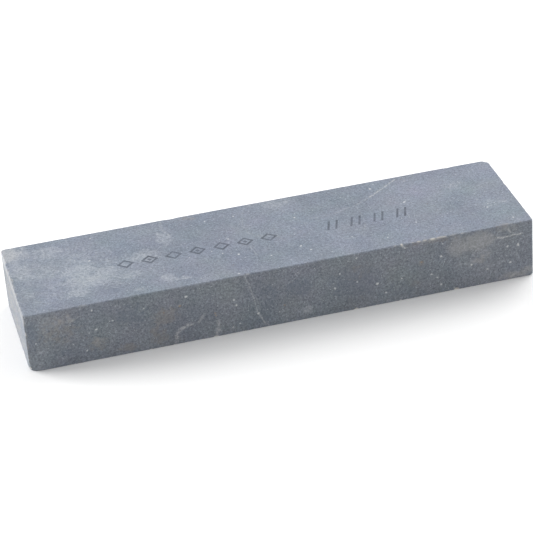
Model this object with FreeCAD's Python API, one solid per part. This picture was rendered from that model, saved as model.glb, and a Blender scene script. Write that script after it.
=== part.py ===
import FreeCAD, Part
import math
import os

# Sharpening whetstone: one block of natural stone with two groups of ink marks on its top.
# Millimetres. The origin is the middle of the bottom face. +X runs along the length,
# +Y from the near long side to the far one, +Z up.

# --- driving dimensions ---
LENGTH = 150.0
WIDTH = 40.0
HEIGHT = 18.5

# Upright corners, rubbed round by hand, each by a different amount.
NEAR_LEFT_RADIUS = 0.3
NEAR_RIGHT_RADIUS = 0.6
FAR_RIGHT_RADIUS = 2.2
FAR_LEFT_RADIUS = 0.8

# The long and short arrises are only just broken, so the stone still feels crisp.
ARRIS_RADIUS = 0.2

# Ink soaked into the pores of the honing face, flush with it.
INK_DEPTH = 0.1
INK_STROKE = 0.8
MARK_HEIGHT = 5.0
MARK_CENTRE_Y = -1.6

# Longer group: a row of open lozenges, every second one with a solid core.
LOZENGE_COUNT = 7
LOZENGE_PITCH = 7.1
LOZENGE_WIDTH = 5.4
CORE_SCALE = 0.3
FIRST_LOZENGE_X = -42.0

# Shorter group: a row of paired slanting bars.
BAR_PAIR_COUNT = 4
BAR_PITCH = 7.0
BAR_GAP = 2.4
BAR_LEAN = 1.6
FIRST_BAR_X = 19.9

# Lengths closer than this are the same.
TOLERANCE = 1e-6


def upright_corners():
    """The four upright corner radii, keyed by the signs of X and Y."""
    return {
        (-1, -1): NEAR_LEFT_RADIUS,
        (1, -1): NEAR_RIGHT_RADIUS,
        (1, 1): FAR_RIGHT_RADIUS,
        (-1, 1): FAR_LEFT_RADIUS,
    }


def is_upright(edge):
    """Whether a straight edge runs along Z."""
    start, end = edge.Vertexes[0].Point, edge.Vertexes[-1].Point
    return abs(end.z - start.z) > HEIGHT / 2


def is_level(edge):
    """Whether an edge lies wholly in the top or the bottom plane."""
    box = edge.BoundBox
    return box.ZLength < TOLERANCE and (box.ZMin < TOLERANCE or box.ZMin > HEIGHT - TOLERANCE)


def make_block():
    """The blank: a sawn block with rounded upright corners and broken arrises."""
    block = Part.makeBox(LENGTH, WIDTH, HEIGHT, FreeCAD.Vector(-LENGTH / 2, -WIDTH / 2, 0))
    for (sign_x, sign_y), radius in upright_corners().items():
        corner = [
            edge for edge in block.Edges
            if is_upright(edge)
            and abs(edge.Vertexes[0].X - sign_x * LENGTH / 2) < TOLERANCE
            and abs(edge.Vertexes[0].Y - sign_y * WIDTH / 2) < TOLERANCE
        ]
        block = block.makeFillet(radius, corner)
    return block.makeFillet(ARRIS_RADIUS, [edge for edge in block.Edges if is_level(edge)])


def prism(outline):
    """A flush ink solid: a closed outline on the top face, sunk by the ink's depth."""
    points = [FreeCAD.Vector(x, y, HEIGHT) for x, y in outline]
    face = Part.Face(Part.makePolygon(points + points[:1]))
    return face.extrude(FreeCAD.Vector(0, 0, -INK_DEPTH))


def lozenge(centre_x, half_width, half_height):
    """Four points of a lozenge centred on the mark line."""
    return [
        (centre_x - half_width, MARK_CENTRE_Y),
        (centre_x, MARK_CENTRE_Y - half_height),
        (centre_x + half_width, MARK_CENTRE_Y),
        (centre_x, MARK_CENTRE_Y + half_height),
    ]


def lozenge_marks():
    """The longer group: open lozenges, every second one with a solid core."""
    half_width = LOZENGE_WIDTH / 2
    half_height = MARK_HEIGHT / 2
    # A stroke of even width moves each side inward along its own normal.
    inset = INK_STROKE * math.hypot(half_width, half_height) / (half_width * half_height)
    solids = []
    for index in range(LOZENGE_COUNT):
        centre_x = FIRST_LOZENGE_X + index * LOZENGE_PITCH
        outer = prism(lozenge(centre_x, half_width, half_height))
        inner = prism(lozenge(centre_x, half_width * (1 - inset), half_height * (1 - inset)))
        solids.extend(outer.cut(inner).Solids)
        if index % 2 == 1:
            solids.append(prism(lozenge(centre_x, half_width * CORE_SCALE, half_height * CORE_SCALE)))
    return solids


def bar_marks():
    """The shorter group: pairs of slanting bars."""
    solids = []
    for index in range(BAR_PAIR_COUNT):
        for side in (-1, 1):
            centre_x = FIRST_BAR_X + index * BAR_PITCH + side * BAR_GAP / 2
            low_y = MARK_CENTRE_Y - MARK_HEIGHT / 2
            high_y = MARK_CENTRE_Y + MARK_HEIGHT / 2
            low_x = centre_x - BAR_LEAN / 2
            high_x = centre_x + BAR_LEAN / 2
            solids.append(prism([
                (low_x - INK_STROKE / 2, low_y),
                (low_x + INK_STROKE / 2, low_y),
                (high_x + INK_STROKE / 2, high_y),
                (high_x - INK_STROKE / 2, high_y),
            ]))
    return solids


def make_parts():
    """Every piece of the whetstone, by name."""
    grit_mark = Part.makeCompound(lozenge_marks())
    grade_mark = Part.makeCompound(bar_marks())
    stone = make_block().cut([grit_mark, grade_mark])
    return {
        "stone": stone.Solids[0],
        "grit_mark": grit_mark,
        "grade_mark": grade_mark,
    }


os.makedirs("parts", exist_ok=True)
for name, shape in make_parts().items():
    shape.exportStep("parts/" + name + ".step")
    box = shape.optimalBoundingBox()
    print(name, "solids", len(shape.Solids), "valid", shape.isValid(), "volume", round(shape.Volume, 3),
          "box", [round(v, 3) for v in (box.XMin, box.YMin, box.ZMin, box.XMax, box.YMax, box.ZMax)])
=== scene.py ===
import itertools
import math
import random

import bpy
import numpy as np
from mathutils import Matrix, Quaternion, Vector
from mathutils import noise as fractal
from mathutils.bvhtree import BVHTree


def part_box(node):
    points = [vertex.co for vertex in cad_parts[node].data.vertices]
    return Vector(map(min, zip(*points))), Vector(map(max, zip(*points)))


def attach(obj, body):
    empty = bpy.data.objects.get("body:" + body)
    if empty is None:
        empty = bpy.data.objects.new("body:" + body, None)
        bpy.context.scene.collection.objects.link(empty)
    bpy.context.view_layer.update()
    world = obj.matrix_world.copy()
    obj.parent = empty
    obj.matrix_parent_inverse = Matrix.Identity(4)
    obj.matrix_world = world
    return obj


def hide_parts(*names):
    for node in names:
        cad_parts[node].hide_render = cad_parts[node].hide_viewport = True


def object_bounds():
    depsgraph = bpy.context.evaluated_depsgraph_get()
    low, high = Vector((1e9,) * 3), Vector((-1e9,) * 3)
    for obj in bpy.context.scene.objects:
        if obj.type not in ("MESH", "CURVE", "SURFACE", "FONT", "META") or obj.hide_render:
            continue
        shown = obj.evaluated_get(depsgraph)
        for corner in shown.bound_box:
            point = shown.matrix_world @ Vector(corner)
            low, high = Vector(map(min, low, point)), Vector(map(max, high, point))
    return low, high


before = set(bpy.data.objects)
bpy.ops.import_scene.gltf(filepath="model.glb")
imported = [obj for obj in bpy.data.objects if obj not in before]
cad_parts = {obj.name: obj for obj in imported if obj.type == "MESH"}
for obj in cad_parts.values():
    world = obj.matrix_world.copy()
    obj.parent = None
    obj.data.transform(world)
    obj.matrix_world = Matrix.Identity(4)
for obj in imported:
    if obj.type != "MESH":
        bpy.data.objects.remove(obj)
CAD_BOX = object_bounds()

# The whetstone's looks: the stone as one dense mesh with worn corners, nicked arrises and small
# pits, the two groups of ink marks as thin skins on its top, and a plain studio around them.
# Inside the script the shapes are worked out in millimetres, and MM turns them into metres.
MM = 0.001

STONE_LOW, STONE_HIGH = (np.array(corner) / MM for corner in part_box("stone"))
STONE_SIZE = STONE_HIGH - STONE_LOW
STONE_MIDDLE = (STONE_LOW + STONE_HIGH) / 2
LENGTH, WIDTH, HEIGHT = STONE_SIZE
X0, Y0, Z0 = STONE_LOW
X1, Y1, Z1 = STONE_HIGH

# --- the block's form ---
# Radii of the upright corners, keyed by the signs of X and Y, as the CAD stone has them.
UPRIGHT_RADII = {(-1, -1): 0.3, (1, -1): 0.6, (1, 1): 2.2, (-1, 1): 0.8}
ARRIS_RADIUS = 0.2
# The radius that each of the eight corners is knocked to, keyed by the signs of X, Y and Z.
# The extra rounding has died away at CORNER_SPREAD times that radius from the corner.
CORNER_RADII = {
    (-1, -1, 1): 1.7, (-1, -1, -1): 2.2, (1, -1, 1): 0.8, (1, -1, -1): 0.9,
    (1, 1, 1): 1.0, (1, 1, -1): 1.4, (-1, 1, 1): 0.7, (-1, 1, -1): 1.3,
}
CORNER_SPREAD = 2.2
# The part of that extra rounding which the upright corners share.
UPRIGHT_SHARE = 0.4
# Mesh lines: FINE_STEP apart at each arris, widening by STEP_GROWTH to COARSE_STEP inside.
FINE_STEP = 0.07
STEP_GROWTH = 1.3
COARSE_STEP = 0.49
# Two distances that differ by less than this count as equal.
EQUAL_WITHIN = 1e-9


def grid_lines(low, high):
    """Mesh lines along one side of the block, closer together near both ends."""
    offsets = [0.0]
    step = FINE_STEP
    while step < COARSE_STEP:
        offsets.append(offsets[-1] + step)
        step *= STEP_GROWTH
    edge = np.array(offsets)
    inside = high - low - 2 * edge[-1]
    middle = np.linspace(0, inside, math.ceil(inside / COARSE_STEP) + 1)[1:-1] + edge[-1]
    return np.concatenate([low + edge, low + middle, (high - edge)[::-1]])


def box_lattice():
    """The sharp block as one closed quad mesh: its points, its quads, and each quad's side.

    Side 2 * axis + end is the low (0) or high (1) end of an axis.
    """
    lines = [grid_lines(low, high) for low, high in zip(STONE_LOW, STONE_HIGH)]
    counts = [len(line) for line in lines]
    quads, sides = [], []
    for axis in range(3):
        across, along = [(1, 2), (2, 0), (0, 1)][axis]
        u, v = np.meshgrid(np.arange(counts[across] - 1), np.arange(counts[along] - 1), indexing="ij")
        for end in (0, 1):
            corners = []
            for du, dv in ((0, 0), (1, 0), (1, 1), (0, 1)):
                index = [None] * 3
                index[axis] = np.full_like(u, end * (counts[axis] - 1))
                index[across] = u + du
                index[along] = v + dv
                # A lattice point's number. The same sum is undone below.
                corners.append((index[0] * counts[1] + index[1]) * counts[2] + index[2])
            face = np.stack([c.ravel() for c in corners], 1)
            quads.append(face if end else face[:, ::-1])
            sides.append(np.full(len(face), axis * 2 + end))
    used, quads = np.unique(np.concatenate(quads), return_inverse=True)
    k = used % counts[2]
    j = used // counts[2] % counts[1]
    i = used // (counts[1] * counts[2])
    points = np.stack([lines[0][i], lines[1][j], lines[2][k]], 1)
    return points, quads.reshape(-1, 4), np.concatenate(sides)


def corner_rounding(points, start):
    """Extra radius at each point, over the starting one, where the block's corners are knocked."""
    extra = np.zeros(len(points))
    for signs, radius in CORNER_RADII.items():
        corner = STONE_MIDDLE + np.array(signs) * STONE_SIZE / 2
        distance = np.linalg.norm(points - corner, axis=1)
        near = np.clip(1 - distance / (CORNER_SPREAD * radius), 0, 1) ** 2
        extra = np.maximum(extra, np.maximum(radius - start, 0) * near)
    return extra


def round_block(points):
    """Rounds the sharp block's upright corners, then breaks its arrises."""
    half = STONE_SIZE / 2
    arris_radius = ARRIS_RADIUS + corner_rounding(points, ARRIS_RADIUS)
    plan = points[:, :2] - STONE_MIDDLE[:2]
    inset = (half[:2] - np.abs(plan)).min(1)
    nearest = half[:2] - np.abs(plan) <= inset[:, None] + EQUAL_WITHIN
    outward = np.where(nearest, np.sign(plan), 0.0)
    outward /= np.linalg.norm(outward, axis=1)[:, None]
    for signs, radius in UPRIGHT_RADII.items():
        reach = radius + UPRIGHT_SHARE * corner_rounding(points, radius)
        centre = np.array(signs) * (half[:2] - reach[:, None])
        offset = (plan - centre) * signs
        corner = (offset > 0).all(1)
        distance = np.linalg.norm(offset[corner], axis=1)
        direction = offset[corner] / distance[:, None] * signs
        plan[corner] = centre[corner] + direction * offset[corner].max(1)[:, None]
        outward[corner] = direction
    height = points[:, 2] - STONE_MIDDLE[2]
    out = arris_radius - inset
    up = arris_radius - (half[2] - np.abs(height))
    arris = (out > 0) & (up > 0)
    shrink = arris_radius[arris] / np.hypot(out[arris], up[arris])
    plan[arris] += outward[arris] * (out[arris] * (shrink - 1))[:, None]
    height[arris] += np.sign(height[arris]) * up[arris] * (shrink - 1)
    return np.column_stack([plan + STONE_MIDDLE[:2], height + STONE_MIDDLE[2]])


# --- wear: chips and nicks, swell and pits ---
WEAR_SEED = 41
# The eight corners are rubbed smooth, so no random nick or pit lies nearer to one than this.
CORNER_CLEARANCE = 2.0
# Nicks to a millimetre of an arris along X, Y and Z.
NICKS_PER_MM = (0.16, 0.22, 0.22)
# A nick's least half width, and how much more the widest has.
NICK_HALF_WIDTH = 0.14
NICK_WIDTH_SPREAD = 0.35
# A nick's half length, as the least and greatest multiple of its half width.
NICK_STRETCH = (0.8, 2.6)
# A nick's least depth, and the share of its half width by which the deepest goes further.
NICK_DEPTH = 0.03
NICK_DEPTH_SHARE = 0.2
NICK_FRESHNESS = 0.3
# How steep a chip's wall is, and how quickly it turns to fresh stone below its rim.
CHIP_STEEPNESS = 1.6
CHIP_FRESHENING = 1.5
# A chip's floor: its average share of the full depth, how far that swings, and waves to a millimetre.
RAGGED_SHARE = 0.75
RAGGED_SWING = 0.5
RAGGED_SCALE = 1.7
ALONG_X, ALONG_Y, ALONG_Z = range(3)


class Chip:
    """A scoop out of an arris: its middle, the arris's axis, the scoop's sizes, and how fresh it looks."""

    def __init__(self, centre, along, half_length, half_width, depth, fresh):
        self.centre = np.array(centre, float)
        self.along = along
        self.half_length = half_length
        self.half_width = half_width
        self.depth = depth
        self.fresh = fresh


# The few chips large enough to notice. The first rows lie along the near side's top arris.
LARGE_CHIPS = [
    *(Chip((x, Y0, Z1), ALONG_X, *sizes) for x, *sizes in (
        (35.3, 0.4, 0.7, 0.15, 1.0), (33.2, 0.5, 0.3, 0.10, 0.6), (38.6, 0.5, 0.3, 0.08, 0.5),
        (40.3, 0.7, 0.4, 0.10, 0.7), (42.2, 0.8, 0.4, 0.10, 0.7), (44.5, 0.9, 0.5, 0.12, 0.9),
        (46.2, 0.5, 0.35, 0.08, 0.6), (48.0, 0.7, 0.35, 0.08, 0.7), (50.2, 0.5, 0.3, 0.08, 0.5),
        (53.4, 0.6, 0.3, 0.08, 0.4), (-10.5, 0.8, 0.4, 0.12, 0.3), (-58.0, 1.2, 0.4, 0.10, 0.2),
    )),
    Chip((51.3, Y0, Z0), ALONG_X, 1.0, 0.7, 0.25, 1.0),
    Chip((20.8, Y0, Z0), ALONG_X, 0.7, 0.5, 0.18, 0.9),
    Chip((34.2, Y0, Z0), ALONG_X, 0.5, 0.4, 0.12, 0.8),
    Chip((-20.9, Y0, Z0), ALONG_X, 0.9, 0.5, 0.18, 0.6),
    Chip((62.0, Y1, Z1), ALONG_X, 1.4, 0.4, 0.12, 0.4),
    Chip((-24.0, Y1, Z1), ALONG_X, 1.8, 0.4, 0.12, 0.4),
    Chip((8.0, Y1, Z0), ALONG_X, 1.5, 0.7, 0.3, 0.6),
    Chip((X0, 6.0, Z1), ALONG_Y, 1.1, 0.4, 0.10, 0.1),
    Chip((X0, -9.0, Z0), ALONG_Y, 1.6, 0.8, 0.35, 0.6),
    Chip((X1, 4.0, Z1), ALONG_Y, 1.2, 0.4, 0.12, 0.4),
    Chip((X1, -5.0, Z0), ALONG_Y, 1.4, 0.7, 0.3, 0.5),
    Chip((X0, Y0, 12.6), ALONG_Z, 0.6, 0.5, 0.15, 0.4),
    Chip((X0, Y0, 1.3), ALONG_Z, 0.6, 0.6, 0.2, 0.8),
]


def arris_point(axis, ends, share):
    """The point a share of the way along an arris, which lies at the given ends of the other two axes."""
    others = [other for other in range(3) if other != axis]
    place = np.empty(3)
    place[axis] = STONE_LOW[axis] + share * STONE_SIZE[axis]
    for other, end in zip(others, ends):
        place[other] = (STONE_LOW, STONE_HIGH)[end][other]
    return place


def near_block_corner(place):
    """Whether a place is close to one of the eight corners."""
    inset = np.minimum(place - STONE_LOW, STONE_HIGH - place)
    return np.linalg.norm(inset) < CORNER_CLEARANCE


def random_nicks(rng):
    """Small nicks strewn along all twelve arrises, as handling leaves them. Few of them are large."""
    nicks = []
    for axis in range(3):
        count = int(NICKS_PER_MM[axis] * STONE_SIZE[axis])
        for ends in itertools.product((0, 1), repeat=2):
            for _ in range(count):
                half_width = NICK_HALF_WIDTH + NICK_WIDTH_SPREAD * rng.random() ** 3
                centre = arris_point(axis, ends, rng.random())
                half_length = half_width * rng.uniform(*NICK_STRETCH)
                depth = NICK_DEPTH + NICK_DEPTH_SHARE * half_width * rng.random()
                fresh = rng.random() * NICK_FRESHNESS
                if not near_block_corner(centre):
                    nicks.append(Chip(centre, axis, half_length, half_width, depth, fresh))
    return nicks


def scoop(points, chip, fresh):
    """Moves the points of one chip inward, with a ragged floor, and marks them as fresh stone."""
    inward = np.sign(STONE_MIDDLE - chip.centre)
    inward[chip.along] = 0.0
    inward /= np.linalg.norm(inward)
    offset = points - chip.centre
    along = offset[:, chip.along] / chip.half_length
    across = np.linalg.norm(np.delete(offset, chip.along, axis=1), axis=1) / chip.half_width
    reach = 1 - along ** 2 - across ** 2
    for index in np.nonzero(reach > 0)[0]:
        ragged = RAGGED_SHARE + RAGGED_SWING * fractal.noise(Vector(points[index] * RAGGED_SCALE))
        amount = min(1.0, reach[index] * CHIP_STEEPNESS) * ragged
        points[index] += inward * chip.depth * amount
        fresh[index] = max(fresh[index], chip.fresh * min(1.0, CHIP_FRESHENING * amount))


PIT_COUNT = 420
PIT_DEPTH = 0.07
# The shallowest pit's share of that depth.
PIT_LEAST = 0.4
# A pit's least radius, and how much more the widest has.
PIT_RADIUS = 0.35
PIT_RADIUS_SPREAD = 0.6
SWELL_DEPTH = 0.03
TOOTH_DEPTH = 0.012
# How long the waves of the swell, the ripple and the tooth are.
SWELL_LENGTH = 11.0
RIPPLE_LENGTH = 2.6
TOOTH_LENGTH = 0.9


def waves(points, length, shift=(0, 0, 0)):
    """A smooth noise from -1 to 1 at each point. The shift sets it apart from the other noises."""
    return np.array([fractal.noise(Vector(p / length) + Vector(shift)) for p in points])


def surface_depth(points, rng):
    """How far each point lies under the true face: a slow swell, a fine tooth, and scattered pits."""
    swell = waves(points, SWELL_LENGTH)
    ripple = waves(points, RIPPLE_LENGTH, (31, 7, 3))
    tooth = waves(points, TOOTH_LENGTH, (5, 50, 9))
    depth = SWELL_DEPTH * (0.5 + 0.5 * swell) + TOOTH_DEPTH * (1 + ripple + 0.6 * tooth)
    areas = [WIDTH * HEIGHT, LENGTH * HEIGHT, LENGTH * WIDTH]
    for _ in range(PIT_COUNT):
        axis = rng.choices(range(3), areas)[0]
        centre = np.array([rng.uniform(low, high) for low, high in zip(STONE_LOW, STONE_HIGH)])
        centre[axis] = (STONE_LOW, STONE_HIGH)[rng.randrange(2)][axis]
        radius = PIT_RADIUS + PIT_RADIUS_SPREAD * rng.random() ** 2
        pit_depth = PIT_DEPTH * rng.uniform(PIT_LEAST, 1.0)
        if near_block_corner(centre):
            continue
        near = np.nonzero((np.abs(points - centre) < radius).all(1))[0]
        distance = np.linalg.norm(points[near] - centre, axis=1) / radius
        depth[near] += pit_depth * np.clip(1 - distance ** 2, 0, 1)
    return depth


def mesh_object(name, points, faces, smooth=True):
    """A mesh object from points in millimetres."""
    mesh = bpy.data.meshes.new(name)
    mesh.from_pydata((np.asarray(points) * MM).tolist(), [], [list(map(int, f)) for f in faces])
    mesh.polygons.foreach_set("use_smooth", [smooth] * len(mesh.polygons))
    mesh.update()
    made = bpy.data.objects.new(name, mesh)
    bpy.context.scene.collection.objects.link(made)
    return made


def unfold(mesh, flat_points, sides):
    """Lays the block's six faces out side by side in one square, for a texture that wastes no room."""
    margin = 2.0
    # By side: the lower left corner of its rectangle, and the two axes that run across and up it.
    layout = {
        4: (margin, margin, 0, 1),
        5: (margin, 2 * margin + WIDTH, 0, 1),
        2: (margin, 3 * margin + 2 * WIDTH, 0, 2),
        3: (margin, 4 * margin + 2 * WIDTH + HEIGHT, 0, 2),
        0: (margin, 5 * margin + 2 * WIDTH + 2 * HEIGHT, 1, 2),
        1: (2 * margin + WIDTH, 5 * margin + 2 * WIDTH + 2 * HEIGHT, 1, 2),
    }
    whole = LENGTH + 2 * margin
    layer = mesh.uv_layers.new(name="OFBake")
    corner_vertex = np.empty(len(mesh.loops), int)
    mesh.loops.foreach_get("vertex_index", corner_vertex)
    corner_side = np.repeat(sides, 4)
    corner_point = flat_points[corner_vertex] - STONE_LOW
    uv = np.empty((len(mesh.loops), 2))
    for side, (left, low, across, up) in layout.items():
        chosen = corner_side == side
        uv[chosen, 0] = (left + corner_point[chosen, across]) / whole
        uv[chosen, 1] = (low + corner_point[chosen, up]) / whole
    layer.data.foreach_set("uv", uv.ravel())


def float_attribute(mesh, name, values):
    """Stores one number per point, which a material can read."""
    mesh.attributes.new(name, "FLOAT", "POINT").data.foreach_set("value", np.asarray(values, np.float32))


# How far in from an arris the rubbing reaches, until it has fallen to about a third.
RUB_REACH = 0.35


def make_stone():
    """The stone: rounded block, swell and pits, chips."""
    rng = random.Random(WEAR_SEED)
    flat_points, quads, sides = box_lattice()
    points = round_block(flat_points.copy())
    stone = mesh_object("whetstone_body", points, quads)
    normals = np.empty(len(points) * 3)
    stone.data.vertex_normals.foreach_get("vector", normals)
    points -= normals.reshape(-1, 3) * surface_depth(points, rng)[:, None]
    fresh = np.zeros(len(points))
    for chip in LARGE_CHIPS + random_nicks(rng):
        scoop(points, chip, fresh)
    stone.data.vertices.foreach_set("co", (points * MM).ravel())
    # A surface point's second smallest distance to a side is its distance to the nearest arris.
    to_sides = np.minimum(flat_points - STONE_LOW, STONE_HIGH - flat_points)
    to_arris = np.sort(to_sides, axis=1)[:, 1]
    float_attribute(stone.data, "fresh", fresh)
    float_attribute(stone.data, "rub", np.exp(-to_arris / RUB_REACH))
    unfold(stone.data, flat_points, sides)
    stone.data.update()
    return stone


# --- ink marks ---
# The same outlines as the CAD marks, found from their boxes.
INK_STROKE = 0.8
LOZENGE_COUNT = 7
LOZENGE_WIDTH = 5.4
# The ring in the middle of every second lozenge: its middle line's share of the lozenge, and half width.
CORE_SHARE = 0.15
CORE_HALF_WIDTH = 0.24
BAR_PAIR_COUNT = 4
BAR_GAP = 2.4
BAR_LEAN = 1.6
# How far an ink skin stands over the stone and reaches into it.
INK_RISE = 0.005
INK_SINK = 0.05
# Mesh steps along a bar, and their number along each side of a lozenge and of a core.
INK_STEP = 0.16
LOZENGE_STEPS = 22
CORE_STEPS = 8
# Where the mesh lines run across a stroke, as shares of its half width.
ACROSS_STROKE = np.linspace(1, -1, 5)
# Rays that look for the stone start this far over it.
RAY_START = 5
RIM_ANGLE = 40


def strip(foot, head, half_width):
    """A slanting stroke with level ends, from its foot to its head, as a grid of (x, y, edge share)."""
    foot, head = np.array(foot, float), np.array(head, float)
    rows = math.ceil(np.linalg.norm(head - foot) / INK_STEP) + 1
    grid = []
    for share in np.linspace(0, 1, rows):
        x, y = foot * (1 - share) + head * share
        grid.append([(x - half_width * c, y, abs(c)) for c in ACROSS_STROKE])
    return np.array(grid)


def ring(corners, half_width, steps):
    """A closed band round a polygon, mitred at its corners, as a grid of rows like a strip's."""
    corners = np.array(corners, float)
    count = len(corners)
    mitres = []
    for index in range(count):
        before = corners[index] - corners[index - 1]
        after = corners[(index + 1) % count] - corners[index]
        normals = [np.array([-v[1], v[0]]) / np.linalg.norm(v) for v in (before, after)]
        bisector = normals[0] + normals[1]
        mitres.append(bisector / bisector.dot(normals[0]))
    grid = []
    for index in range(count):
        following = (index + 1) % count
        for share in np.linspace(0, 1, steps, endpoint=False):
            place = corners[index] * (1 - share) + corners[following] * share
            mitre = mitres[index] * (1 - share) + mitres[following] * share
            grid.append([(*(place + mitre * half_width * c), abs(c)) for c in ACROSS_STROKE])
    return np.array(grid)


def ink_skin(name, strokes, surface):
    """Thin closed skins that follow the stone. A stroke is a grid, and whether it closes on itself."""
    points, faces, edge = [], [], []
    for grid, closed in strokes:
        rows, columns = grid.shape[:2]
        base = len(points)
        for level in (INK_RISE, -INK_SINK):
            for x, y, share in grid.reshape(-1, 3):
                hit = surface.ray_cast(Vector((x, y, Z1 + RAY_START)) * MM, Vector((0, 0, -1)))[0]
                points.append((x, y, hit.z / MM + level))
                edge.append(share)
        under = rows * columns

        def at(row, column, level):
            return base + level * under + (row % rows) * columns + column

        for row in range(rows if closed else rows - 1):
            for column in range(columns - 1):
                top = [at(row, column, 0), at(row, column + 1, 0),
                       at(row + 1, column + 1, 0), at(row + 1, column, 0)]
                faces.append(top)
                faces.append([index + under for index in top[::-1]])
            for column, order in ((0, 1), (columns - 1, -1)):
                wall = [at(row, column, 0), at(row + 1, column, 0),
                        at(row + 1, column, 1), at(row, column, 1)]
                faces.append(wall[::order])
        if not closed:
            for row, order in ((0, -1), (rows - 1, 1)):
                for column in range(columns - 1):
                    wall = [at(row, column, 0), at(row, column + 1, 0),
                            at(row, column + 1, 1), at(row, column, 1)]
                    faces.append(wall[::order])
    made = mesh_object(name, points, faces)
    # Shading breaks at the rims, so that a mark lies flat on the stone instead of looking embossed.
    made.data.set_sharp_from_angle(angle=math.radians(RIM_ANGLE))
    float_attribute(made.data, "edge", edge)
    return made


def box_centres(node, count, item_width):
    """Middles of evenly spaced items that fill a CAD mark's box, and the box's low and high Y."""
    low, high = (np.array(corner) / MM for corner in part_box(node))
    return np.linspace(low[0] + item_width / 2, high[0] - item_width / 2, count), low[1], high[1]


def lozenge_strokes():
    """The longer mark: a row of open lozenges, every second one with a core."""
    centres, low_y, high_y = box_centres("grit_mark", LOZENGE_COUNT, LOZENGE_WIDTH)
    middle_y = (low_y + high_y) / 2
    half = np.array([LOZENGE_WIDTH, high_y - low_y]) / 2
    # The band's middle line lies half a stroke inside the outline.
    shrink = 1 - INK_STROKE / 2 * np.hypot(*half) / (half[0] * half[1])
    directions = np.array([(-1, 0), (0, -1), (1, 0), (0, 1)])
    strokes = []
    for index, x in enumerate(centres):
        middle = np.array([x, middle_y])
        strokes.append((ring(middle + directions * half * shrink, INK_STROKE / 2, LOZENGE_STEPS), True))
        if index % 2 == 1:
            core = half * CORE_SHARE
            strokes.append((ring(middle + directions * core, CORE_HALF_WIDTH, CORE_STEPS), True))
    return strokes


def bar_strokes():
    """The shorter mark: pairs of slanting bars."""
    item_width = BAR_GAP + BAR_LEAN + INK_STROKE
    centres, low_y, high_y = box_centres("grade_mark", BAR_PAIR_COUNT, item_width)
    strokes = []
    for x in centres:
        for side in (-1, 1):
            foot = x + side * BAR_GAP / 2 - BAR_LEAN / 2
            strokes.append((strip((foot, low_y), (foot + BAR_LEAN, high_y), INK_STROKE / 2), False))
    return strokes


# --- materials ---
class Nodes:
    """Short ways to add shader nodes to one tree and join them."""

    def __init__(self, tree):
        self.tree = tree

    def add(self, kind, inputs=None, **settings):
        node = self.tree.nodes.new(kind)
        for key, value in settings.items():
            setattr(node, key, value)
        for key, value in (inputs or {}).items():
            self.put(node.inputs[key], value)
        return node

    def put(self, socket, value):
        if isinstance(value, bpy.types.NodeSocket):
            self.tree.links.new(value, socket)
        else:
            socket.default_value = value

    def math(self, operation, first, second=0.0):
        return self.add("ShaderNodeMath", {0: first, 1: second}, operation=operation).outputs[0]

    def times(self, first, second):
        return self.math("MULTIPLY", first, second)

    def vector(self, operation, first, second=(0, 0, 0), output=0):
        return self.add("ShaderNodeVectorMath", {0: first, 1: second}, operation=operation).outputs[output]

    def scaled(self, vector, factor):
        return self.add("ShaderNodeVectorMath", {0: vector, "Scale": factor}, operation="SCALE").outputs[0]

    def noise(self, place, scale, detail=2.0, roughness=0.5, output=0):
        return self.add("ShaderNodeTexNoise", {"Vector": place, "Scale": scale, "Detail": detail,
                                               "Roughness": roughness}).outputs[output]

    def ramp(self, value, low, high, out_low=0.0, out_high=1.0, smooth=True):
        kind = "SMOOTHSTEP" if smooth else "LINEAR"
        # A smooth step stops at its ends by itself. Leaving the clamp off keeps the shader's stack small.
        return self.add("ShaderNodeMapRange", {"Value": value, "From Min": low, "From Max": high,
                                               "To Min": out_low, "To Max": out_high},
                        interpolation_type=kind, clamp=not smooth).outputs[0]

    def mix(self, share, first, second, blend="MIX"):
        node = self.add("ShaderNodeMix", data_type="RGBA", blend_type=blend)
        for index, value in ((0, share), (6, first), (7, second)):
            if isinstance(value, tuple) and len(value) == 3:
                value = (*value, 1.0)
            self.put(node.inputs[index], value)
        return node.outputs[2]


FLOAT, VECTOR, COLOUR = "NodeSocketFloat", "NodeSocketVector", "NodeSocketColor"


def new_group(name, inputs, outputs):
    """An empty node group with the given sockets. Returns the tree and its input sockets."""
    tree = bpy.data.node_groups.new(name, "ShaderNodeTree")
    for socket, kind in inputs:
        tree.interface.new_socket(socket, in_out="INPUT", socket_type=kind)
    for socket, kind in outputs:
        tree.interface.new_socket(socket, in_out="OUTPUT", socket_type=kind)
    return tree, tree.nodes.new("NodeGroupInput").outputs, tree.nodes.new("NodeGroupOutput").inputs


def streak_group():
    """Strength on the straight line from A to B, falling to 0 at Width from it, all in millimetres."""
    tree, given, out = new_group(
        "streak",
        [("Place", VECTOR), ("A", VECTOR), ("B", VECTOR), ("Width", FLOAT), ("Strength", FLOAT)],
        [("Mask", FLOAT)])
    n = Nodes(tree)
    to_place = n.vector("SUBTRACT", given["Place"], given["A"])
    run = n.vector("SUBTRACT", given["B"], given["A"])
    share = n.math("DIVIDE", n.vector("DOT_PRODUCT", to_place, run, output=1),
                   n.vector("DOT_PRODUCT", run, run, output=1))
    share = n.math("MINIMUM", n.math("MAXIMUM", share, 0.0), 1.0)
    distance = n.vector("DISTANCE", to_place, n.scaled(run, share), output=1)
    fall = n.ramp(n.math("DIVIDE", distance, given["Width"]), 1.0, 0.15)
    n.put(out["Mask"], n.times(fall, given["Strength"]))
    return tree


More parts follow.
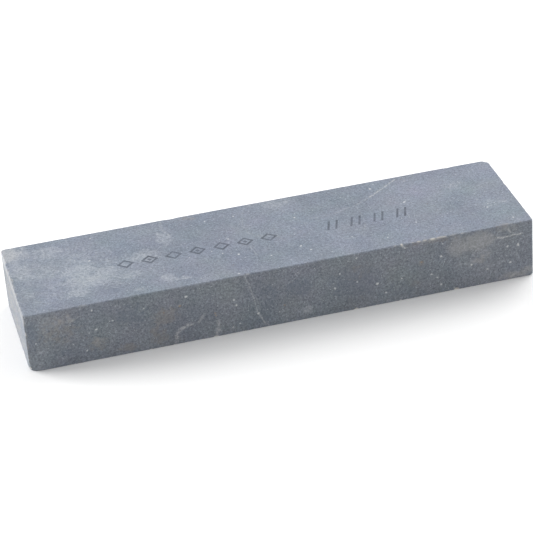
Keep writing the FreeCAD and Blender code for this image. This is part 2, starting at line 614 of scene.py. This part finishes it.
def blotch_group():
    """Strength in the middle of a soft ellipsoid, falling to 0 at its rim."""
    tree, given, out = new_group(
        "blotch",
        [("Place", VECTOR), ("Centre", VECTOR), ("Radii", VECTOR), ("Strength", FLOAT)],
        [("Mask", FLOAT)])
    n = Nodes(tree)
    offset = n.vector("DIVIDE", n.vector("SUBTRACT", given["Place"], given["Centre"]), given["Radii"])
    fall = n.ramp(n.vector("LENGTH", offset, output=1), 1.0, 0.2)
    n.put(out["Mask"], n.times(fall, given["Strength"]))
    return tree


def greatest(n, masks):
    """The greatest of several masks.

    Each joins the total as soon as it is made, so that the shader holds few of them at once.
    """
    total = None
    for mask in masks:
        total = mask if total is None else n.math("MAXIMUM", total, mask)
    return total


# --- what marks the stone ---
def on_top(x, y):
    return (x, y, Z1)


def on_near(x, z):
    return (x, Y0, z)


def lines_on(face, rows):
    """Rows of a bent line, its half width and its strength, with the line's points put on a face."""
    return [([face(*point) for point in points], *values) for points, *values in rows]


def grains_on(face, rows):
    """Rows of a grain's place and radius, with the place put on a face."""
    return [(face(*place), radius) for place, radius in rows]


# Scratches, pale veins and one painted light: points, half width, strength. Each is a bent line.
SCRATCHES = lines_on(on_top, [
    ([(45, 18.3), (40, 14.5), (35, 10.6)], 0.42, 0.7),
    ([(35, 10.6), (30, 7.6), (24, 5.4), (19, 4.2), (14.5, 5)], 0.42, 0.28),
    ([(58.6, 5.2), (58.9, 8.2), (60.4, 9.6), (64, 9)], 0.5, 0.24),
    ([(-27.4, 19), (-27.8, 15), (-26.6, 10.5)], 0.7, 0.28),
    ([(-5.9, -4.6), (-5.2, -10.4)], 0.34, 0.35),
    ([(-5, -5.2), (-4.4, -9.5)], 0.3, 0.25),
]) + lines_on(on_near, [
    ([(63.8, 14.8), (66.2, 14.4), (68.2, 14.5)], 0.5, 1.0),
    ([(68.8, 14.6), (71.7, 14.6)], 0.42, 1.0),
    ([(67.6, 16.8), (68.2, 15.6)], 0.4, 0.5),
])
VEINS_AND_PAINTED_LIGHT = lines_on(on_near, [
    ([(-11.4, 18.4), (-9.9, 13), (-8.9, 8.4), (-8.2, 5)], 0.34, 0.5),
    ([(-8.2, 5), (-7.2, 2.6), (-5.6, 0.3)], 0.42, 0.6),
    ([(-10.2, 13.6), (-8.3, 9.4), (-7.5, 6.2)], 0.3, 0.3),
    ([(-32.6, 0.8), (-32.2, 3.4), (-31.2, 4.7), (-29.2, 5.6), (-27.6, 5.9)], 0.9, 0.75),
    ([(-25.6, 6), (-24.6, 7), (-24, 8.2)], 0.7, 0.5),
    ([(-20.2, 5), (-19.8, 3.2), (-20.4, 1.4), (-21.4, 0.2)], 0.7, 0.6),
    ([(35.3, 18.4), (35.4, 17.7), (36.3, 17.1)], 0.45, 1.0),
    # Painted light: a pale line on the chip at the near side's bottom arris, which faces down into shade,
    # so that it shows bright.
    ([(50.5, 0.9), (51.3, 0.2)], 0.5, 1.0),
    ([(68, 1), (69.4, 1.5)], 0.6, 0.5),
])
# Marks of slurry wiped off the honing face: curved pale trails.
SMEARS = lines_on(on_top, [
    ([(-48.6, -7), (-46.4, -7.4), (-44.8, -8.6)], 0.6, 1.0),
    ([(-44, -9.2), (-42.4, -8.8), (-40.8, -9)], 0.7, 1.0),
    ([(-42.6, -10.4), (-40.8, -11.2)], 0.5, 0.7),
    ([(-50.4, -10.6), (-48.6, -9.6), (-46.6, -10.2), (-45.4, -12)], 0.4, 0.8),
    ([(-49.6, -11.8), (-48, -10.9), (-46.8, -11.8), (-46.2, -13.2)], 0.35, 0.7),
    ([(-51.8, -9.2), (-49.2, -8.4), (-46.4, -9)], 0.4, 0.6),
    ([(-48.2, -12.8), (-47, -13.6)], 0.5, 0.8),
    ([(-28, -15), (-26.2, -15.8)], 0.7, 0.9),
    ([(-66, 14.6), (-63.2, 12), (-61.6, 15.4)], 0.7, 0.5),
])
# Pale residue: middle, radii, strength.
RESIDUE = [
    (on_top(-60, 0), (36, 30, 4), 0.5),
    (on_top(-55, -0.5), (10, 7, 5), 1.0),
    (on_top(-54, -7), (11, 7, 5), 1.0),
    (on_top(-48.5, -4), (8, 6, 5), 0.9),
    (on_top(-58, -12.5), (7, 5, 5), 0.8),
    (on_top(-42, -7.6), (6, 5, 4), 0.6),
    (on_top(-36.5, 1), (9, 6, 4), 0.75),
    (on_top(-52.5, 3.8), (4, 2.6, 4), 0.6),
    (on_top(-71, 5), (6, 12, 6), 0.8),
    (on_top(-73.5, 9.5), (4, 4, 4), 0.7),
    (on_top(-72, 15), (9, 8, 6), 1.0),
    (on_top(-63, 13), (9, 7, 4), 0.8),
    (on_top(-71, -8), (6, 9, 5), 0.5),
    (on_top(-31.6, -14), (4, 4, 4), 0.9),
    (on_top(-27.2, -15.4), (2.6, 1.8, 3), 0.8),
    (on_top(-41, -17), (3, 2.4, 3), 0.7),
    (on_top(-28.5, 9), (4.5, 9, 3), 0.75),
    (on_top(7, 17), (9, 4, 3), 0.6),
    (on_top(60, 9), (6, 5, 4), 0.5),
    (on_top(68, -6), (10, 5, 4), 0.5),
    (on_near(62, 8), (20, 3, 14), 0.45),
    (on_near(6.4, 2.6), (3, 3, 2.4), 1.0),
    (on_near(-20.4, 1.6), (2, 2, 2.4), 0.8),
    (on_near(-71.5, 6.3), (2, 2, 1.2), 0.9),
    ((30, Y1, 10), (16, 3, 6), 0.6),
    ((-40, Y1, 6), (11, 3, 7), 0.55),
    ((-62, Y1, 14), (9, 3, 4), 0.5),
    ((20, 3, Z0), (26, 11, 3), 0.6),
    ((-52, -10, Z0), (12, 7, 3), 0.5),
]
# Warm pale dust and worn spots, a painted highlight along the left end's top arris, and a paler, warmer
# band over the whole left end.
DUST_AND_HIGHLIGHT = [
    (on_top(-75, 16), (9, 8, 3), 0.9),
    (on_top(-54, -6), (8, 4, 3), 0.4),
    # Painted highlight: a narrow pale band on the left end just under its top arris, standing in for the
    # light that the arris catches.
    ((X0, 0, 17), (0.8, 44, 3), 1.1),
    # The whole left end is painted paler and warmer.
    ((X0, 0, 6), (0.8, 44, 17), 0.5),
    (on_near(58.5, 14.6), (8, 4, 5.6), 1.0),
    (on_near(52.5, 14.4), (7, 4, 5.5), 0.75),
    (on_near(60.5, 10.5), (4.5, 4, 4), 0.5),
    (on_near(67, 17), (7, 2, 2.4), 0.5),
    (on_near(-66, 15), (9, 4, 4.4), 0.55),
    (on_near(-61.8, 14.6), (1.8, 2, 1), 1.0),
    (on_near(-55, 5.4), (4.4, 3, 3.4), 0.5),
    (on_near(69.5, 1.2), (7, 3, 2.4), 1.0),
    (on_near(73.4, 2.2), (2.4, 3, 2.2), 0.8),
    (on_near(44.5, 18.3), (7, 1.6, 1), 1.0),
    ((-20, Y1, 12), (16, 4, 6), 0.5),
    ((X1, 8, 11), (3, 10, 6), 0.5),
    ((36, -10, Z0), (14, 8, 3), 0.45),
]
# Brown and olive stains, and a painted highlight up the near-left upright edge.
STAINS_AND_EDGE_HIGHLIGHT = [
    ((X0, 8, 9), (0.6, 40, 30), 0.75),
    # Partly a warm stain, partly a painted highlight: a thin, paler strip up the near-left upright edge,
    # where that edge catches the light.
    ((X0, Y0, 7.5), (0.9, 0.7, 11), 0.8),
    (on_near(-66, 11.5), (12, 4, 8), 0.65),
    (on_near(-35, 10), (6.5, 4, 4.8), 0.95),
    (on_near(-37.5, 4.5), (4.6, 4, 6), 0.75),
    (on_near(-55, 5.2), (5.4, 3, 4.4), 0.7),
    (on_near(-46.5, 1.8), (5, 3, 3), 0.9),
    (on_near(59, 8.6), (5, 3, 3), 0.6),
    (on_near(40.8, 11.3), (1.6, 3, 1.6), 0.9),
    (on_near(39, 5), (5, 3, 3), 0.5),
    (on_near(66, 18.4), (10, 1.2, 0.7), 0.9),
    (on_near(45, 17.6), (11, 1.6, 1.4), 0.8),
    (on_near(20, 3), (12, 3, 3), 0.35),
    (on_near(22, 13), (9, 3, 5), 0.45),
    (on_top(-19, 17.8), (5, 2.5, 2), 0.7),
    (on_top(9, -3), (10, 4, 3), 0.3),
    ((-25, Y1, 8), (14, 4, 7), 0.7),
    ((48, Y1, 5), (9, 3, 4), 0.8),
    ((X1, -10, 5), (3, 8, 5), 0.6),
    ((-30, -8, Z0), (20, 8, 3), 0.6),
]
# Darker, bluer stone.
DARK_PATCHES = [
    (on_near(4, 10.5), (7, 3, 5), 1.0),
    (on_near(-4.5, 11.5), (4, 3, 4), 0.7),
    (on_near(-65, 4), (8, 3, 4), 0.6),
    (on_near(-45, 12), (9, 3, 7), 0.75),
    (on_near(-10, 3), (12, 3, 3), 0.6),
    (on_near(21, 9), (13, 3, 11), 0.95),
    (on_near(34, 4), (14, 3, 5), 0.6),
    (on_near(-73, 12), (3, 3, 9), 0.8),
    (on_near(67, 11), (5, 3, 3), 0.5),
    (on_near(67.2, 15.9), (0.9, 2, 0.9), 1.0),
    (on_top(-48.5, -13.8), (6.5, 4.6, 3), 1.0),
    (on_top(-60, -17.5), (14, 3, 3), 0.6),
    (on_top(0, -8), (36, 14, 3), 0.45),
    (on_top(-61, 7), (7, 3.2, 3), 0.9),
    (on_top(-68, -5), (5.5, 7, 3), 0.8),
    (on_top(-38, 8), (5, 5, 3), 0.4),
    ((0, Y1, 9), (18, 3, 6), 0.6),
    ((50, -6, Z0), (18, 9, 3), 0.6),
]
# Single mineral grains that stand out, and rust specks: place and radius.
PALE_GRAINS = grains_on(on_top, [
    ((10.7, 6.9), 0.5), ((43.6, 4), 0.55), ((-10.1, -8.1), 0.55), ((-14.3, -5.9), 0.4),
    ((-14.8, 14.5), 0.35), ((-6.2, 14.4), 0.35), ((36.5, 15.5), 0.5), ((65.3, -8), 0.4),
    ((43.2, -9), 0.35), ((8, -10), 0.5), ((10.1, -13.1), 0.4), ((23.2, -10.3), 0.4),
    ((-1.4, -12.2), 0.4), ((-51.5, 4), 0.5), ((-48.8, 16.8), 0.4), ((-17, -3.5), 0.35),
    ((47.6, 16.4), 0.4), ((-12.7, -18.8), 0.4), ((32.6, -14.4), 0.35), ((70.3, -16.5), 0.35),
    ((-10.8, 1.6), 0.4),
]) + grains_on(on_near, [
    ((-28.7, 15), 0.6), ((-55, 10), 0.6), ((-55.6, 16.4), 0.45), ((-57.1, 9.2), 0.4),
    ((-50.1, 11.8), 0.35), ((-72.3, 9.1), 0.4), ((-15, 10.9), 0.55), ((-14.4, 9), 0.45),
    ((27.4, 7.2), 0.6), ((-13.8, 2.8), 0.4), ((-16, 2), 0.35), ((29.9, 3.6), 0.4),
    ((14.8, 8.3), 0.55), ((16.5, 12.7), 0.45), ((21.5, 9.1), 0.4), ((43.8, 6.8), 0.55),
    ((45.6, 5.5), 0.5), ((34.7, 7.3), 0.45), ((46.6, 2.8), 0.5), ((67.1, 11.2), 0.45),
    ((70.4, 11.1), 0.6), ((68, 5.7), 0.5), ((56, 7.5), 0.45), ((46.9, 12.1), 0.45),
    ((-8.2, 5), 0.5), ((-58.3, 3.7), 0.4), ((21.6, 16.9), 0.45), ((47.5, 16.3), 0.4),
    ((60.8, 5), 0.35), ((-41, 13.8), 0.35),
])
RUST_GRAINS = [
    (on_near(-30.7, 12.3), 0.6), (on_near(-20.7, 7.8), 0.5), (on_near(-20.6, 7), 0.45),
    (on_near(-0.4, 6), 0.4), (on_near(40.9, 11.4), 0.45), (on_near(-35.4, 11.2), 0.35),
    ((-9, Y1, 12), 0.5), ((33, Y1, 5), 0.45), ((12, 6, Z0), 0.6), ((X1, -9, 6), 0.5),
]

# --- colours, finish and relief ---
# Colours are linear.
STONE_DARK = (0.136, 0.154, 0.180)
STONE_LIGHT = (0.180, 0.197, 0.224)
# What the stone's colour is multiplied by on the honed faces, partly a painted light that makes them
# lighter and bluer, and low and high on the sawn sides, a painted light that is paler low and darker high.
HONED_TINT_AND_PAINTED_LIGHT = (1.050, 1.076, 1.140)
SAWN_LOW_PAINTED_LIGHT = (1.045, 1.045, 1.045)
SAWN_HIGH_PAINTED_SHADE = (0.975, 0.975, 0.975)
RESIDUE_COLOUR = (0.400, 0.420, 0.450)
DUST_AND_HIGHLIGHT_COLOUR = (0.402, 0.390, 0.368)
STAIN_AND_HIGHLIGHT_COLOUR = (0.225, 0.195, 0.160)
DEEP_COLOUR = (0.105, 0.128, 0.168)
PALE_LINE_COLOUR = (0.420, 0.425, 0.430)
GRAIN_COLOUR = (0.600, 0.610, 0.610)
RUST_COLOUR = (0.310, 0.220, 0.130)
FRESH_COLOUR = (0.560, 0.540, 0.500)
RUBBED_COLOUR = (0.330, 0.335, 0.345)
# How much of each colour shows where its mask is whole.
DEEP_SHARE = 0.35
STAIN_AND_HIGHLIGHT_SHARE = 0.35
DUST_AND_HIGHLIGHT_SHARE = 0.36
RESIDUE_SHARE = 0.5
GRAIN_SHARE = 0.65
FLECK_SHARE = 0.6
RUST_SHARE = 0.55
FRESH_SHARE = 0.9
RUB_SHARE = 0.32
TINT_SHARE = 0.07
# The tone of whole ink and a slight lift of its blue, as shares of the stone's.
INK_TONE = 0.34
INK_BLUE = 1.02
# How rough the stone and the ink are, from one cloud to another.
ROUGHNESS = (0.72, 0.82)
# In millimetres: how high the grain and the finer tooth are, and how deep dark flecks and scratches.
GRAIN_RELIEF = 0.030
TOOTH_RELIEF = 0.012
PORE_RELIEF = 0.03
SCRATCH_RELIEF = 0.02


def millimetres(n):
    """The shaded point's place on the object, in millimetres."""
    place = n.add("ShaderNodeTexCoord").outputs["Object"]
    return n.scaled(place, 1 / MM)


def strewn(n, place, scale, keep, radius, shift):
    """Random grains: at most one to a cell, kept in a share of the cells."""
    cell = n.add("ShaderNodeTexVoronoi", {"Vector": n.vector("ADD", place, shift), "Scale": scale})
    chance = n.add("ShaderNodeSeparateColor", {0: cell.outputs["Color"]})
    kept = n.math("LESS_THAN", chance.outputs[0], keep)
    size = n.ramp(chance.outputs[1], 0, 1, radius * 0.5, radius, smooth=False)
    dot = n.ramp(n.math("DIVIDE", cell.outputs["Distance"], n.times(size, scale)), 1.0, 0.4)
    return n.times(dot, kept)


def base_group():
    """The plain stone: its clouded blue-grey, its grain and strewn mineral flecks, their relief, and the
    painted light on its honed faces and sawn sides.
    """
    tree, _, out = new_group("stone_base", [], [
        ("Colour", COLOUR), ("Mottle", FLOAT), ("Grain", FLOAT), ("Relief", FLOAT)])
    n = Nodes(tree)
    place = millimetres(n)
    cloud = n.noise(place, 0.045, 4.0, 0.6)
    mottle = n.noise(place, 0.35, 4.0, 0.6)
    grain = n.noise(place, 1.3, 4.0, 0.85)
    fleck = n.noise(n.vector("ADD", place, (40, 11, 23)), 2.4, 2.0, 0.8)
    tint = n.noise(n.vector("ADD", place, (70, 20, 5)), 0.09, 3.0, 0.6, output=1)

    colour = n.mix(n.ramp(cloud, 0.3, 0.7), STONE_DARK, STONE_LIGHT)
    colour = n.mix(n.ramp(mottle, 0.25, 0.75, 0.0, 0.55), colour, STONE_LIGHT)
    # The two honed faces are finer than the sawn sides. They are also painted lighter and bluer: partly
    # their own tone, partly painted light that stands in for light from above on the top.
    height = n.add("ShaderNodeSeparateXYZ", {0: place}).outputs[2]
    from_middle = n.math("ABSOLUTE", n.math("SUBTRACT", height, HEIGHT / 2))
    honed = n.ramp(from_middle, HEIGHT / 2 - 0.5, HEIGHT / 2 - 0.2)
    # Painted light: the sawn sides are painted a little paler toward the bottom and darker toward the top,
    # to even out the shade that falls low on them where the floor in front lies in the stone's shadow.
    sawn = n.mix(n.ramp(height, 1.0, 7.0), SAWN_LOW_PAINTED_LIGHT, SAWN_HIGH_PAINTED_SHADE)
    colour = n.mix(1.0, colour, n.mix(honed, sawn, HONED_TINT_AND_PAINTED_LIGHT), "MULTIPLY")
    # A weak colour noise about white, so that the blue-grey leans a little warm or cool.
    toned = n.mix(1.0, n.mix(TINT_SHARE, (0.5, 0.5, 0.5), tint), (2.0, 2.0, 2.0), "MULTIPLY")
    colour = n.mix(1.0, colour, toned, "MULTIPLY")

    # The finest grain is a change of tone either way, and weaker on the honed faces.
    tone = n.times(n.ramp(grain, 0.3, 0.7, 0.60, 1.40, smooth=False),
                   n.ramp(fleck, 0.3, 0.7, 0.70, 1.30, smooth=False))
    coarseness = n.ramp(honed, 0.0, 1.0, 1.06, 0.88)
    tone = n.math("POWER", tone, coarseness)
    toned = n.add("ShaderNodeCombineColor",
                  {0: tone, 1: n.math("POWER", tone, 0.95), 2: n.math("POWER", tone, 0.90)}).outputs[0]
    colour = n.mix(1.0, colour, toned, "MULTIPLY")

    # Each layer of flecks: cells to a millimetre, share of cells kept, radius, shift, strength.
    layers = [(0.5, 0.10, 0.30, (0, 0, 0), 0.8), (0.9, 0.30, 0.26, (9, 4, 2), 0.65),
              (1.5, 0.40, 0.18, (3, 14, 6), 0.45)]
    speckle = greatest(n, (
        n.times(strewn(n, place, scale, keep, radius, shift), strength)
        for scale, keep, radius, shift, strength in layers))
    colour = n.mix(n.times(speckle, FLECK_SHARE), colour, GRAIN_COLOUR)
    dark = strewn(n, place, 0.9, 0.12, 0.2, (5, 2, 7))
    colour = n.mix(n.times(dark, FLECK_SHARE), colour, DEEP_COLOUR)

    relief = n.times(grain, GRAIN_RELIEF)
    relief = n.math("ADD", relief, n.times(n.noise(place, 4.5, 2.0, 0.7), TOOTH_RELIEF))
    relief = n.math("SUBTRACT", relief, n.times(dark, PORE_RELIEF))
    for socket, value in (("Colour", colour), ("Mottle", mottle), ("Grain", grain), ("Relief", relief)):
        n.put(out[socket], value)
    return tree


def stone_group(base_tree):
    """The whole stone: the plain stone with its stains, veins, residue, scratches and worn edges, and its
    painted highlights and painted light.
    """
    tree, _, out = new_group("stone_surface", [], [
        ("Colour", COLOUR), ("Roughness", FLOAT), ("Relief", FLOAT)])
    n = Nodes(tree)
    place = millimetres(n)
    base = n.add("ShaderNodeGroup", node_tree=base_tree).outputs
    mottle, grain = base["Mottle"], base["Grain"]
    # Features wander a little off their drawn places, so that none has a ruled edge.
    wander = n.vector("SUBTRACT", n.noise(place, 0.45, 3.0, output=1), (0.5, 0.5, 0.5))
    loose = n.scaled(wander, 3.0)
    tight = n.scaled(wander, 0.9)
    slight = n.scaled(n.noise(place, 1.6, 1.0, output=1), 0.7)
    uneven_place = n.vector("ADD", place, n.vector("SUBTRACT", slight, (0.35, 0.35, 0.35)))
    loose_place = n.vector("ADD", place, loose)
    tight_place = n.vector("ADD", place, tight)

    streak, blotch = streak_group(), blotch_group()

    def feature(tree, place, values):
        node = n.add("ShaderNodeGroup", node_tree=tree)
        n.put(node.inputs["Place"], place)
        for key, value in values.items():
            n.put(node.inputs[key], value)
        return node.outputs[0]

    def lines(rows):
        return greatest(n, (
            feature(streak, tight_place, {"A": start, "B": end, "Width": width, "Strength": strength})
            for points, width, strength in rows for start, end in zip(points, points[1:])))

    def blotches(rows):
        return greatest(n, (
            feature(blotch, loose_place, {"Centre": centre, "Radii": radii, "Strength": strength})
            for centre, radii, strength in rows))

    def grains(rows):
        return greatest(n, (
            n.ramp(n.vector("DISTANCE", uneven_place, centre, output=1), radius * 0.95, radius * 0.25)
            for centre, radius in rows))

    colour = base["Colour"]
    # Every patch ends raggedly: its mask is pushed up and down by a noise before it is cut off.
    ragged = n.ramp(n.noise(place, 0.55, 5.0, 0.7), 0.3, 0.7, -0.4, 0.4)

    def patch(rows, low=0.35, high=0.85, raggedness=1.0):
        uneven = n.times(ragged, raggedness)
        return n.ramp(n.math("ADD", blotches(rows), uneven), low, high)

    deep = patch(DARK_PATCHES)
    colour = n.mix(n.times(deep, DEEP_SHARE), colour, DEEP_COLOUR)
    # Stains, and the painted highlight up the near-left upright edge.
    stain_and_highlight = n.times(patch(STAINS_AND_EDGE_HIGHLIGHT), n.ramp(grain, 0.35, 0.65, 0.5, 1.0))
    colour = n.mix(n.times(stain_and_highlight, STAIN_AND_HIGHLIGHT_SHARE), colour, STAIN_AND_HIGHLIGHT_COLOUR)
    # Pale dust and wear, and the painted highlight along the left end's top arris.
    dust_and_highlight = n.times(patch(DUST_AND_HIGHLIGHT, 0.15, 0.95, 0.55), n.ramp(grain, 0.35, 0.65, 0.7, 1.0))
    colour = n.mix(n.times(dust_and_highlight, DUST_AND_HIGHLIGHT_SHARE), colour, DUST_AND_HIGHLIGHT_COLOUR)

    # Residue lies in streaks along the stone, and shows most on its paler grains.
    streaky = n.noise(n.vector("MULTIPLY", loose_place, (0.35, 1.4, 1.4)), 0.9, 4.0, 0.7)
    residue = n.times(patch(RESIDUE, 0.25, 0.95, 0.75), n.ramp(streaky, 0.3, 0.7, 0.5, 1.0))
    smear = n.times(lines(SMEARS), n.ramp(streaky, 0.3, 0.6, 0.5, 1.0))
    residue = n.math("MAXIMUM", residue, smear)
    residue = n.times(residue, n.ramp(grain, 0.35, 0.65, 0.35, 1.3))
    colour = n.mix(n.times(residue, RESIDUE_SHARE), colour, RESIDUE_COLOUR)

    broken = n.ramp(n.noise(place, 1.1, 3.0, 0.8), 0.40, 0.62)
    # Pale veins, and the painted light on the bottom chip.
    vein_and_painted_light = n.times(lines(VEINS_AND_PAINTED_LIGHT), n.ramp(broken, 0, 1, 0.15, 1.0))
    # Faint hair veins run through the whole block where a slow noise crosses its middle value.
    slow = n.noise(n.vector("MULTIPLY", tight_place, (1.0, 0.4, 0.8)), 0.03, 1.0, 0.5)
    hair = n.ramp(n.math("ABSOLUTE", n.math("SUBTRACT", slow, 0.5)), 0.003, 0.0, 0.0, 0.22)
    vein_and_painted_light = n.math("MAXIMUM", vein_and_painted_light, n.times(hair, broken))
    colour = n.mix(vein_and_painted_light, colour, PALE_LINE_COLOUR)

    # Fine scratches along the stone from blades, and the drawn ones.
    brushed = n.noise(n.vector("MULTIPLY", place, (0.12, 3.2, 3.2)), 1.0, 2.0, 0.6)
    fine = n.ramp(brushed, 0.66, 0.76, 0.0, 0.22)
    scratch = n.times(lines(SCRATCHES), n.ramp(broken, 0, 1, 0.2, 1.0))
    scratch = n.math("MAXIMUM", scratch, fine)
    colour = n.mix(scratch, colour, PALE_LINE_COLOUR)

    colour = n.mix(n.times(grains(PALE_GRAINS), GRAIN_SHARE), colour, GRAIN_COLOUR)
    rust = n.math("MAXIMUM", strewn(n, place, 0.4, 0.035, 0.3, (3, 8, 1)), grains(RUST_GRAINS))
    colour = n.mix(n.times(rust, RUST_SHARE), colour, RUST_COLOUR)

    # Rubbed arrises and fresh chips are paler than the old faces.
    edge_share = n.add("ShaderNodeAttribute", attribute_name="rub").outputs["Fac"]
    rub = n.times(edge_share, n.ramp(n.noise(place, 0.9, 3.0, 0.7), 0.4, 0.65, 0.0, RUB_SHARE))
    colour = n.mix(rub, colour, RUBBED_COLOUR)
    fresh = n.add("ShaderNodeAttribute", attribute_name="fresh").outputs["Fac"]
    colour = n.mix(n.times(fresh, FRESH_SHARE), colour, FRESH_COLOUR)

    roughness = n.math("ADD", n.ramp(mottle, 0.2, 0.8, *ROUGHNESS), n.times(residue, 0.12))
    roughness = n.math("ADD", roughness, n.times(edge_share, 0.08))
    relief = n.math("SUBTRACT", base["Relief"], n.times(scratch, SCRATCH_RELIEF))
    for socket, value in (("Colour", colour), ("Roughness", roughness), ("Relief", relief)):
        n.put(out[socket], value)
    return tree


def surface_material(name, tree):
    """A material with one of the stone's groups in it, and its helper, group outputs and shader."""
    material = bpy.data.materials.new(name)
    material.use_nodes = True
    n = Nodes(material.node_tree)
    shader = material.node_tree.nodes["Principled BSDF"]
    stone = n.add("ShaderNodeGroup", node_tree=tree).outputs
    bump = n.add("ShaderNodeBump", {"Height": stone["Relief"], "Strength": 1.0, "Distance": MM})
    n.put(shader.inputs["Normal"], bump.outputs[0])
    shader.inputs["IOR"].default_value = 1.5
    shader.inputs["Specular IOR Level"].default_value = 0.25
    return material, n, stone, shader


def stone_material(tree):
    """The finish of the whole stone, from its group."""
    material, n, stone, shader = surface_material("stone_material", tree)
    n.put(shader.inputs["Base Color"], stone["Colour"])
    n.put(shader.inputs["Roughness"], stone["Roughness"])
    return material


def ink_material(tree):
    """Worn ink soaked into the stone: the plain stone's colour, darkened where the ink has held."""
    material, n, stone, shader = surface_material("ink_material", tree)
    place = millimetres(n)
    edge = n.add("ShaderNodeAttribute", attribute_name="edge").outputs["Fac"]
    held = n.ramp(n.noise(place, 1.3, 4.0, 0.7), 0.30, 0.60, 0.40, 1.0)
    patchy = n.ramp(n.noise(place, 0.16, 2.0, 0.5), 0.3, 0.7, 0.7, 1.0)
    amount = n.times(n.times(held, patchy), n.ramp(edge, 1.0, 0.6))
    tone = n.ramp(amount, 0.0, 1.0, 1.0, INK_TONE, smooth=False)
    shade = n.add("ShaderNodeCombineColor", {0: tone, 1: tone, 2: n.times(tone, INK_BLUE)}).outputs[0]
    n.put(shader.inputs["Base Color"], n.mix(1.0, stone["Colour"], shade, "MULTIPLY"))
    n.put(shader.inputs["Roughness"], n.ramp(stone["Mottle"], 0.2, 0.8, *ROUGHNESS))
    return material


# How far from the stone's middle the floor starts to grow lighter, and is white, in metres.
FLOOR_FADE = (0.4, 1.6)
FLOOR_COLOUR = (0.86, 0.86, 0.86)


def floor_material():
    """Pale paper, lighter far from the stone, so that it melts into the light around it."""
    material = bpy.data.materials.new("floor_material")
    material.use_nodes = True
    n = Nodes(material.node_tree)
    shader = material.node_tree.nodes["Principled BSDF"]
    place = n.add("ShaderNodeTexCoord").outputs["Object"]
    away = n.vector("LENGTH", place, output=1)
    paper = n.mix(n.ramp(away, *FLOOR_FADE), FLOOR_COLOUR, (1.0, 1.0, 1.0))
    n.put(shader.inputs["Base Color"], paper)
    shader.inputs["Roughness"].default_value = 0.9
    shader.inputs["Specular IOR Level"].default_value = 0.1
    return material


# --- studio ---
WORLD_STRENGTH = 0.73
# Each lamp's name, its place from the stone's middle and its size in metres, and its power in watts.
LAMPS = [
    ("left", (-0.80, 0.40, 0.25), (0.6, 0.35), 12.8),
    ("rear_right", (0.60, 0.35, 0.50), (0.7, 0.7), 6.2),
    ("front", (0.10, -0.80, 0.35), (0.6, 0.6), 0.35),
]


def make_floor():
    """A square sheet that reaches far past the view."""
    half = 3000.0
    floor = mesh_object("floor", [(-half, -half, 0), (half, -half, 0), (half, half, 0), (-half, half, 0)],
                        [(0, 1, 2, 3)], smooth=False)
    floor.data.materials.append(floor_material())


def area_light(name, place, target, size, power):
    """A white rectangular lamp that faces its target. The camera doesn't see it."""
    data = bpy.data.lights.new(name, "AREA")
    data.shape = "RECTANGLE"
    data.size, data.size_y = size
    data.energy = power
    lamp = bpy.data.objects.new(name, data)
    lamp.location = place
    lamp.visible_camera = False
    lamp.rotation_euler = (Vector(target) - Vector(place)).to_track_quat("-Z", "Y").to_euler()
    bpy.context.scene.collection.objects.link(lamp)


def make_lights(centre):
    """Even white light from all round, and the lamps."""
    world = bpy.data.worlds.new("studio")
    world.use_nodes = True
    background = world.node_tree.nodes["Background"]
    background.inputs["Color"].default_value = (1.0, 1.0, 1.0, 1.0)
    background.inputs["Strength"].default_value = WORLD_STRENGTH
    bpy.context.scene.world = world
    for name, place, size, power in LAMPS:
        area_light(name, centre + Vector(place), centre, size, power)


# The camera stands to the left of the near side and looks down at the stone with a long lens.
# Angles are in degrees, the lens in millimetres, and the distance and aim in metres.
CAMERA_AZIMUTH = 12.453
CAMERA_ELEVATION = 30.109
CAMERA_ROLL = -4.472
CAMERA_DISTANCE = 0.66086
CAMERA_LENS = 152.92
SENSOR_WIDTH = 36.0
AIM_OFFSET = Vector((-0.00091, -0.00227, 0.0))


def make_camera(centre):
    """The camera, aimed beside the stone's middle by AIM_OFFSET."""
    azimuth, elevation = math.radians(CAMERA_AZIMUTH), math.radians(CAMERA_ELEVATION)
    forward = Vector((math.sin(azimuth) * math.cos(elevation), math.cos(azimuth) * math.cos(elevation),
                      -math.sin(elevation)))
    data = bpy.data.cameras.new("camera")
    data.lens = CAMERA_LENS
    data.sensor_width = SENSOR_WIDTH
    data.clip_start, data.clip_end = 0.01, 20.0
    camera = bpy.data.objects.new("camera", data)
    camera.location = centre + AIM_OFFSET - forward * CAMERA_DISTANCE
    camera.rotation_mode = "QUATERNION"
    roll = Quaternion((0, 0, 1), math.radians(CAMERA_ROLL))
    camera.rotation_quaternion = forward.to_track_quat("-Z", "Y") @ roll
    bpy.context.scene.collection.objects.link(camera)
    bpy.context.scene.camera = camera


centre = (CAD_BOX[0] + CAD_BOX[1]) / 2
make_camera(centre)
make_lights(centre)
make_floor()

plain_stone = base_group()
body = make_stone()
body.data.materials.append(stone_material(stone_group(plain_stone)))
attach(body, "root")
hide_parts("stone")

skin = BVHTree.FromObject(body, bpy.context.evaluated_depsgraph_get())
ink = ink_material(plain_stone)
for mark_name, node, strokes in (("lozenge_ink", "grit_mark", lozenge_strokes()),
                                 ("bar_ink", "grade_mark", bar_strokes())):
    mark = ink_skin(mark_name, strokes, skin)
    mark.data.materials.append(ink)
    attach(mark, "root")
    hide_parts(node)

bpy.context.scene.view_settings.view_transform = "Standard"
